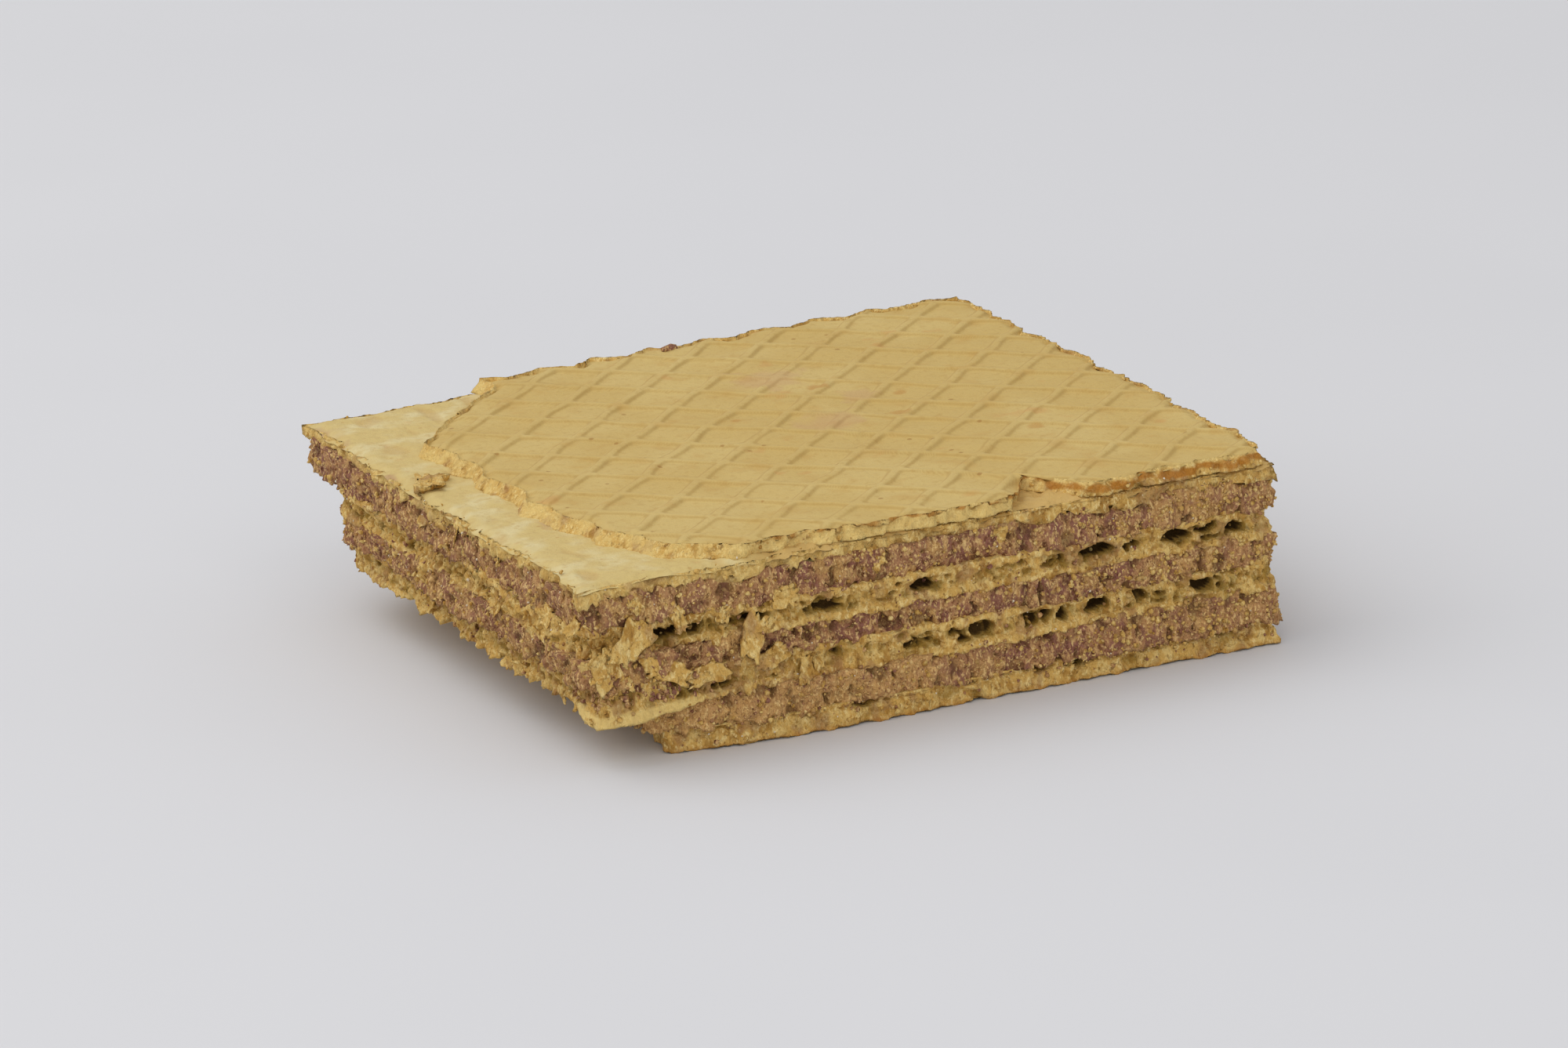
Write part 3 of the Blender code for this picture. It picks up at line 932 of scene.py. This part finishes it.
def scatter(name, model, places, softness=1.0):
    """Join one copy of a model for every place: a position, a turn, three sizes and a curl.

    The softness says how much a copy is also dented across its thin side.
    """
    mesh = bmesh.new()
    for position, turn, size, curl, seed in places:
        first = len(mesh.verts)
        mesh.from_mesh(model.data)
        mesh.verts.ensure_lookup_table()
        for vertex in mesh.verts[first:]:
            local = vertex.co.copy()
            rough = noise.noise_vector(local * 2.4 + Vector((seed, 0.0, 0.0)))
            rough += 0.5 * noise.noise_vector(local * 6.0 + Vector((seed, 0.0, 0.0)))
            local += 0.2 * Vector((rough.x, rough.y, rough.z * softness))
            local = Vector(local[axis] * size[axis] for axis in range(3))
            local.z += curl * (local.x / size[0]) ** 2 * size[0]
            vertex.co = position + turn @ local
    data = bpy.data.meshes.new(name)
    mesh.to_mesh(data)
    mesh.free()
    piece = bpy.data.objects.new(name, data)
    bpy.context.collection.objects.link(piece)
    report(piece)
    return piece


def facing(outward, roll, lean):
    """A turn that lays a flake against an edge that faces outward: rolled about it, then leaned."""
    return (outward.to_track_quat("Z", "Y").to_matrix()
            @ Matrix.Rotation(math.radians(roll), 3, "Z") @ Matrix.Rotation(math.radians(lean), 3, "Y"))


flake_model = make_flake()
crumb_model = make_crumb()

# %% [markdown]
# The flakes that show best were read from the front: how far from the left, how high, how long
# and wide, and how they are turned. Around the broken corner many more small ones are left to
# chance.

# %% The flakes at the front and round the broken corner
# Distance from the left, height, length, width, roll, lean and curl
FRONT_FLAKES = (
    (13.3, 8.7, 1.7, 1.5, 15.0, -15.0, 0.2), (11.2, 6.6, 3.0, 1.6, 60.0, 15.0, 0.3),
    (12.4, 5.2, 2.2, 1.3, 35.0, -20.0, 0.3), (14.4, 3.9, 2.0, 0.9, 60.0, 30.0, 0.3),
    (15.2, 4.5, 1.4, 0.7, 110.0, -25.0, 0.4), (6.6, 8.5, 1.7, 0.9, 95.0, 25.0, 0.3),
    (9.4, 8.3, 1.3, 0.9, 75.0, -20.0, 0.3), (3.4, 7.6, 3.4, 2.0, 40.0, 10.0, 0.25),
    (1.8, 6.4, 3.0, 1.8, 110.0, -12.0, 0.3), (5.6, 5.6, 3.2, 1.5, 160.0, 12.0, 0.25),
    (7.8, 4.9, 2.6, 1.2, 15.0, -15.0, 0.3), (19.4, 9.9, 1.5, 0.9, 100.0, 25.0, 0.4),
    (27.2, 9.9, 1.6, 0.9, 70.0, -25.0, 0.3),
)
FRONT_Y = cad_low.y + 0.35 * MM
SMALL_FLAKES = 70
flake_places = []
for index, (along, height, length, width, roll, lean, curl) in enumerate(FRONT_FLAKES):
    position = Vector((cad_low.x + along * MM, FRONT_Y, height * MM))
    size = (length * MM, width * MM, FLAKE_THICKNESS * 10.0)
    flake_places.append((position, facing(Vector((0.0, -1.0, 0.0)), roll, lean), size, curl, index * 1.7))
for _ in range(SMALL_FLAKES):
    name = chance.choice(("wafer_upper", "wafer_upper", "wafer_lower", "cream_middle", "cream_upper"))
    near = [spot for spot in chance.choices(clinging[name], k=60)
            if spot[0].x < cad_low.x + 8.0 * MM and spot[0].y < cad_low.y + 26.0 * MM]
    if not near:
        continue
    position, outward = near[0]
    length = chance.uniform(0.6, 1.7) * MM
    size = (length, length * chance.uniform(0.35, 0.8), FLAKE_THICKNESS * chance.uniform(5.0, 9.0))
    turn = facing(outward, chance.uniform(0.0, 180.0), chance.uniform(-35.0, 35.0))
    curl, seed = chance.uniform(0.0, 0.6), chance.uniform(0.0, 90.0)
    flake_places.append((position - outward * 0.05 * MM, turn, size, curl, seed))
scab = Vector((cad_low.x + 1.9 * MM, cad_low.y + 26.6 * MM, ledge_height + 0.12 * MM))
flake_places.append((scab, Matrix.Rotation(1.1, 3, "Z"), (3.4 * MM, 2.0 * MM, 3.0 * MM), 0.1, 41.0))
flakes = scatter("torn_flakes", flake_model, flake_places, 0.5)

# %% [markdown]
# Crumbs cling to every broken edge, most of them on the cream. Sugar grains sparkle between them.

# %% Wafer crumbs, cream crumbs and sugar grains
WAFER_CRUMBS = 5200
CREAM_DUST = 700
SHELL_CRUMBS = 150
CREAM_GRAINS = 3600
SUGAR_GRAINS = 220
CRUMB_SHARES = {"wafer_bottom": 0.8, "cream_lower": 2.0, "wafer_lower": 1.0, "cream_middle": 2.0,
                "wafer_upper": 1.0, "cream_upper": 1.8, "wafer_top": 0.35}
RIGHT_SHARES = {"cream_lower": 1.5, "cream_middle": 1.0, "cream_upper": 1.0}
DUST_SHARES = {"wafer_lower": 1.0, "wafer_upper": 1.0, "wafer_bottom": 0.7}
GRAIN_SHARES = {"cream_lower": 1.0, "cream_middle": 1.0, "cream_upper": 1.0}


def cling(count, shares, smallest, largest):
    """Random places on the broken edges, more of them on the layers with a larger share."""
    places = []
    for _ in range(count):
        name = chance.choices(list(shares), list(shares.values()))[0]
        position, outward = chance.choice(clinging[name])
        radius = blend(smallest, largest, chance.random() ** 2.5) * MM
        size = tuple(radius * chance.uniform(0.7, 1.3) for _ in range(3))
        turn = Matrix.Rotation(chance.uniform(0.0, math.tau), 3, Vector((1.0, 0.6, 0.3)).normalized())
        places.append((position + outward * 0.25 * radius, turn, size, 0.0, chance.uniform(0.0, 90.0)))
    return places


wafer_places = cling(WAFER_CRUMBS, CRUMB_SHARES, 0.04, 0.19)
right_places = [place for place in cling(WAFER_CRUMBS, RIGHT_SHARES, 0.06, 0.2)
                if place[0].x > cad_low.x + 32.0 * MM and place[0].y < cad_low.y + 2.0 * MM]
wafer_crumbs = scatter("wafer_crumbs", crumb_model, wafer_places + right_places)
print(f"wafer crumbs: {len(wafer_places)} all round and {len(right_places)} more at the front right")
cream_places = cling(CREAM_DUST, DUST_SHARES, 0.05, 0.18)
shell_top = boxes["wafer_lower"][0].z + 0.25 * MM
shell_spots = [spot for spot in clinging["wafer_lower"] if spot[0].z > shell_top
               and spot[0].x < cad_low.x + 9.0 * MM and spot[0].y < cad_low.y + 5.0 * MM]
for position, outward in chance.sample(shell_spots, SHELL_CRUMBS):
    size = tuple(chance.uniform(0.10, 0.26) * MM for _ in range(3))
    cream_places.append((position, Matrix.Identity(3), size, 0.0, chance.uniform(0.0, 90.0)))
cream_places += cling(CREAM_GRAINS, GRAIN_SHARES, 0.05, 0.15)
back_crumb = Vector((cad_low.x + 25.4 * MM, cad_high.y - 1.1 * MM, cad_high.z - 0.1 * MM))
cream_places.append((back_crumb, Matrix.Rotation(0.4, 3, "Z"), (0.75 * MM, 0.4 * MM, 0.3 * MM), 0.0, 3.0))
cream_crumbs = scatter("cream_crumbs", crumb_model, cream_places)
sugar_places = cling(SUGAR_GRAINS, CRUMB_SHARES, 0.05, 0.10)
sugar_grains = scatter("sugar_grains", crumb_model, sugar_places)
for model in (flake_model, crumb_model):
    bpy.data.objects.remove(model)

# %% [markdown]
# ## Finishes
# Every finish is a pile of thin coats: a base colour, and then one colour after another, each
# through its own mask. A mask is a noise of a real size, a scatter of grains or a number stored in
# the mesh, such as how deep a hollow is; that one paints shade into the hollows. Fine noise also
# roughens the surface.

# %% Tools for the finishes


def linear(hex_colour):
    """An sRGB hex colour as the linear values that a shader works with."""
    values = []
    for start in (1, 3, 5):
        share = int(hex_colour[start:start + 2], 16) / 255.0
        values.append(share / 12.92 if share <= 0.04045 else ((share + 0.055) / 1.055) ** 2.4)
    return (*values, 1.0)


def add_node(material, kind, inputs, **settings):
    """Add a node with its settings. Each input gets a value or a link from another node."""
    tree = material.node_tree
    node = tree.nodes.new("ShaderNode" + kind)
    for name, value in settings.items():
        setattr(node, name, value)
    for name, value in inputs.items():
        if isinstance(value, bpy.types.NodeSocket):
            tree.links.new(value, node.inputs[name])
        else:
            node.inputs[name].default_value = value
    return node


def add_range(material, value, low, high, most):
    """A soft step from 0 to the most, while the value goes from low to high."""
    inputs = {"Value": value, "From Min": low, "From Max": high, "To Min": 0.0, "To Max": most}
    return add_node(material, "MapRange", inputs, interpolation_type="SMOOTHSTEP").outputs["Result"]


def add_mask(material, place, index, pattern, size, low, high, most):
    """The mask of one coat: noise or grains of a size in millimetres, or a number of the mesh."""
    if pattern not in ("noise", "grains"):
        stored = add_node(material, "Attribute", {}, attribute_name=pattern).outputs["Fac"]
        return add_range(material, stored, low, high, most)
    moved = add_node(material, "VectorMath", {0: place, 1: (index * 17.3, index * 5.1, 0.0)}).outputs[0]
    if pattern == "noise":
        inputs = {"Vector": moved, "Scale": 1.0 / size, "Detail": 2.0, "Roughness": 0.6}
        return add_range(material, add_node(material, "TexNoise", inputs).outputs[0], low, high, most)
    grains = add_node(material, "TexVoronoi", {"Vector": moved, "Scale": 1.0 / size})
    dot = add_range(material, grains.outputs["Distance"], high, 0.6 * high, most)
    chosen = add_node(material, "SeparateColor", {"Color": grains.outputs["Color"]}).outputs["Red"]
    pick = add_range(material, chosen, 1.0 - low, 1.02 - low, 1.0)
    return add_node(material, "Math", {0: dot, 1: pick}, operation="MULTIPLY").outputs[0]


def make_finish(name, base, coats, relief, roughness, ior=1.45, specular=0.3, flat=1.0):
    """A finish from its base colour, its coats of colour, its fine relief and its gloss.

    A flat share under 1 draws the patterns out upward, as on a torn edge.
    """
    material = bpy.data.materials.new(name)
    material.use_nodes = True
    shader = material.node_tree.nodes["Principled BSDF"]
    metres = add_node(material, "TexCoord", {}).outputs["Object"]
    per_metre = (1.0 / MM, 1.0 / MM, flat / MM)
    place = add_node(material, "VectorMath", {0: metres, 1: per_metre}, operation="MULTIPLY").outputs[0]
    colour = linear(base)
    for index, (pattern, size, low, high, tint, most) in enumerate(coats):
        mask = add_mask(material, place, index, pattern, size, low, high, most)
        inputs = {0: mask, 6: colour, 7: linear(tint)}
        colour = add_node(material, "Mix", inputs, data_type="RGBA").outputs[2]
    material.node_tree.links.new(colour, shader.inputs["Base Color"])
    inputs = {"Vector": place, "Scale": 1.0 / relief[0], "Detail": 3.0, "Roughness": 0.7}
    bumps = add_node(material, "TexNoise", inputs).outputs[0]
    rough = add_node(material, "Bump", {"Height": bumps, "Distance": relief[1] * MM}).outputs["Normal"]
    material.node_tree.links.new(rough, shader.inputs["Normal"])
    shader.inputs["Roughness"].default_value = roughness
    shader.inputs["IOR"].default_value = ior
    shader.inputs["Specular IOR Level"].default_value = specular
    return material


# %% [markdown]
# Coats: the pattern, its size in millimetres, where its mask starts and is full, the colour and
# how much of it shows. For grains the two numbers are the share of grains and their radius.

# %% The finishes of this biscuit
baked_skin = make_finish(
    "baked_wafer_skin", "#CBAD67",
    (("noise", 8.0, 0.40, 0.62, "#D3B976", 0.6),
     ("noise", 2.4, 0.52, 0.74, "#C2984F", 0.4),
     ("noise", 0.5, 0.50, 0.72, "#B99550", 0.35),
     ("wall", 1.0, 0.10, 1.00, "#A98440", 0.4),
     ("grains", 1.0, 0.08, 0.20, "#9C6D30", 0.6),
     ("noise", 3.6, 0.66, 0.74, "#C88C4A", 0.35),
     ("smudge", 1.0, 0.10, 1.00, "#C09272", 0.3),
     ("scorch", 1.0, 0.20, 1.00, "#B98238", 0.5)),
    (0.4, 0.07), 0.72)
peeled_skin = make_finish(
    "peeled_wafer_skin", "#D3BA78",
    (("noise", 2.6, 0.44, 0.70, "#DFD09E", 0.7),
     ("noise", 0.6, 0.48, 0.70, "#C9AC6E", 0.5),
     # hollow_shade coat: painted shade in the dips of the peeled face
     ("hollow_shade", 1.0, 0.20, 1.00, "#C09A5A", 0.4),
     ("grains", 0.5, 0.08, 0.30, "#B58A4A", 0.45),
     ("noise", 1.3, 0.64, 0.76, "#CBA068", 0.35),
     ("smudge", 1.0, 0.10, 0.90, "#B08268", 0.5),
     ("tan", 1.0, 0.00, 1.00, "#CBA45E", 0.8)),
    (0.45, 0.12), 0.7)
broken_wafer = make_finish(
    "broken_wafer", "#D9AE5E",
    (("noise", 0.42, 0.44, 0.62, "#EBCB80", 0.8),
     ("noise", 0.8, 0.52, 0.66, "#A8762C", 0.7),
     ("noise", 0.26, 0.53, 0.67, "#F9DE98", 0.75),
     ("noise", 1.5, 0.54, 0.66, "#A87C52", 0.6),
     ("noise", 0.3, 0.60, 0.72, "#7A5018", 0.7),
     ("noise", 0.13, 0.54, 0.66, "#9A7228", 0.4),
     ("peel", 1.0, 0.10, 0.90, "#EACC80", 0.7),
     # toast_and_shade coat: partly toasted skin, partly painted shade
     ("toast_and_shade", 1.0, 0.20, 0.90, "#B0701F", 0.8),
     # the two hollow_shade coats are painted shade: olive in shallow hollows, near black in deep ones
     ("hollow_shade", 1.0, 0.20, 0.55, "#8C6C20", 0.8),
     ("hollow_shade", 1.0, 0.55, 0.90, "#352004", 0.9)),
    (0.26, 0.26), 0.85, flat=0.62)
cocoa_cream = make_finish(
    "cocoa_cream", "#B5845C",
    (("noise", 1.4, 0.46, 0.64, "#C99C62", 0.55),
     ("noise", 2.0, 0.50, 0.64, "#D2A65E", 0.55),
     ("noise", 0.9, 0.46, 0.60, "#905C52", 0.8),
     ("noise", 0.45, 0.53, 0.65, "#E4B878", 0.8),
     ("noise", 0.4, 0.54, 0.66, "#6E4226", 0.8),
     ("tan", 1.0, 0.00, 1.00, "#E4B46C", 0.5),
     ("torn", 1.0, 0.30, 1.00, "#D8AC60", 0.14),
     ("noise", 0.13, 0.52, 0.64, "#84502C", 0.5),
     ("noise", 0.18, 0.53, 0.66, "#F5D08C", 0.8),
     # hollow_shade coat: painted shade in the pits of the cream
     ("hollow_shade", 1.0, 0.60, 1.00, "#4A2A0E", 0.55)),
    (0.2, 0.26), 0.8, flat=0.62)
sugar = make_finish(
    "sugar_grain", "#EADFC6", (("noise", 0.2, 0.4, 0.7, "#CDB48A", 0.6),),
    (0.1, 0.02), 0.35, ior=1.54, specular=0.5)


def dress_edge(piece, edge_finish, is_face):
    """Give a second finish to the faces that aren't part of the fine face."""
    piece.data.materials.append(edge_finish)
    levels = [entry.value for entry in piece.data.attributes["level"].data]
    for face in piece.data.polygons:
        face.material_index = 0 if all(is_face(levels[corner]) for corner in face.vertices) else 1


dressed = [(top_skin, baked_skin, "wafer_top"), (ledge, peeled_skin, "wafer_top"),
           (sheets["wafer_bottom"], baked_skin, "wafer_bottom")]
dressed += [(sheets[name], broken_wafer, name) for name in ("wafer_lower", "wafer_upper")]
dressed += [(cream, cocoa_cream, name) for name, cream in creams.items()]
for piece, finish, node in dressed:
    piece.data.materials.append(finish)
    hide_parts(node)
for piece in (top_skin, ledge):
    dress_edge(piece, broken_wafer, lambda level: level > FACE_LEVEL)
dress_edge(sheets["wafer_bottom"], broken_wafer, lambda level: level < 1.0 - FACE_LEVEL)
extras = [(flakes, broken_wafer), (wafer_crumbs, broken_wafer), (cream_crumbs, cocoa_cream),
          (sugar_grains, sugar)]
for piece, finish in extras:
    piece.data.materials.append(finish)
slots = {cocoa_cream.name: "cocoa_cream"}
for piece in [entry[0] for entry in dressed + extras]:
    select_only(piece)
    bpy.ops.object.shade_smooth()
    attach(piece, "root")
    slots.get(piece.data.materials[0].name, "wafer_sheet")

# %% [markdown]
# ## Table, light and camera

# %% Table
centre = (cad_low + cad_high) / 2
deselect()
bpy.ops.mesh.primitive_plane_add(size=4.0, location=(0.0, 0.0, 0.0))
floor = bpy.context.object
floor.name = "floor"
table = make_finish(
    "matt_pale_table", "#DDDDDF", (("noise", 60.0, 0.4, 0.6, "#DBDBDD", 0.5),),
    (2.0, 0.002), 0.8)
floor.data.materials.append(table)

# %% Light
WORLD_LIGHT = 0.55
world = bpy.data.worlds.new("soft studio")
bpy.context.scene.world = world
world.use_nodes = True
world.node_tree.nodes["Background"].inputs["Color"].default_value = (1.0, 1.0, 1.02, 1.0)
world.node_tree.nodes["Background"].inputs["Strength"].default_value = WORLD_LIGHT


def direction(azimuth, elevation):
    """The direction from the biscuit to a light or camera, from two angles in degrees."""
    a, e = math.radians(azimuth), math.radians(elevation)
    return Vector((math.sin(a) * math.cos(e), -math.cos(a) * math.cos(e), math.sin(e)))


def add_softbox(name, power, size, azimuth, elevation, distance):
    """A square area light that looks at the biscuit."""
    light = bpy.data.lights.new(name, "AREA")
    light.energy = power
    light.size = size
    box = bpy.data.objects.new(name, light)
    bpy.context.collection.objects.link(box)
    away = direction(azimuth, elevation)
    box.location = centre + away * distance
    box.rotation_mode = "QUATERNION"
    box.rotation_quaternion = away.to_track_quat("Z", "Y")


add_softbox("window", 2.7, 0.8, -125.0, 52.0, 0.75)
add_softbox("fill", 2.2, 0.8, -15.0, 30.0, 0.9)

# %% Camera
CAMERA_AZIMUTH = -23.14
CAMERA_ELEVATION = 15.99
CAMERA_ROLL = -3.74
CAMERA_DISTANCE = 0.5584
CAMERA_LENS = 210.6

camera = bpy.data.objects.new("camera", bpy.data.cameras.new("camera"))
bpy.context.collection.objects.link(camera)
back = direction(CAMERA_AZIMUTH, CAMERA_ELEVATION)
upright = back.to_track_quat("Z", "Y").to_matrix()
camera.matrix_world = Matrix.LocRotScale(centre + back * CAMERA_DISTANCE,
                                         upright @ Matrix.Rotation(math.radians(CAMERA_ROLL), 3, "Z"), None)
camera.data.lens = CAMERA_LENS
camera.data.sensor_width = 36.0
camera.data.clip_start = 0.01
camera.data.dof.use_dof = False
bpy.context.scene.camera = camera
bpy.context.scene.view_settings.view_transform = "Standard"
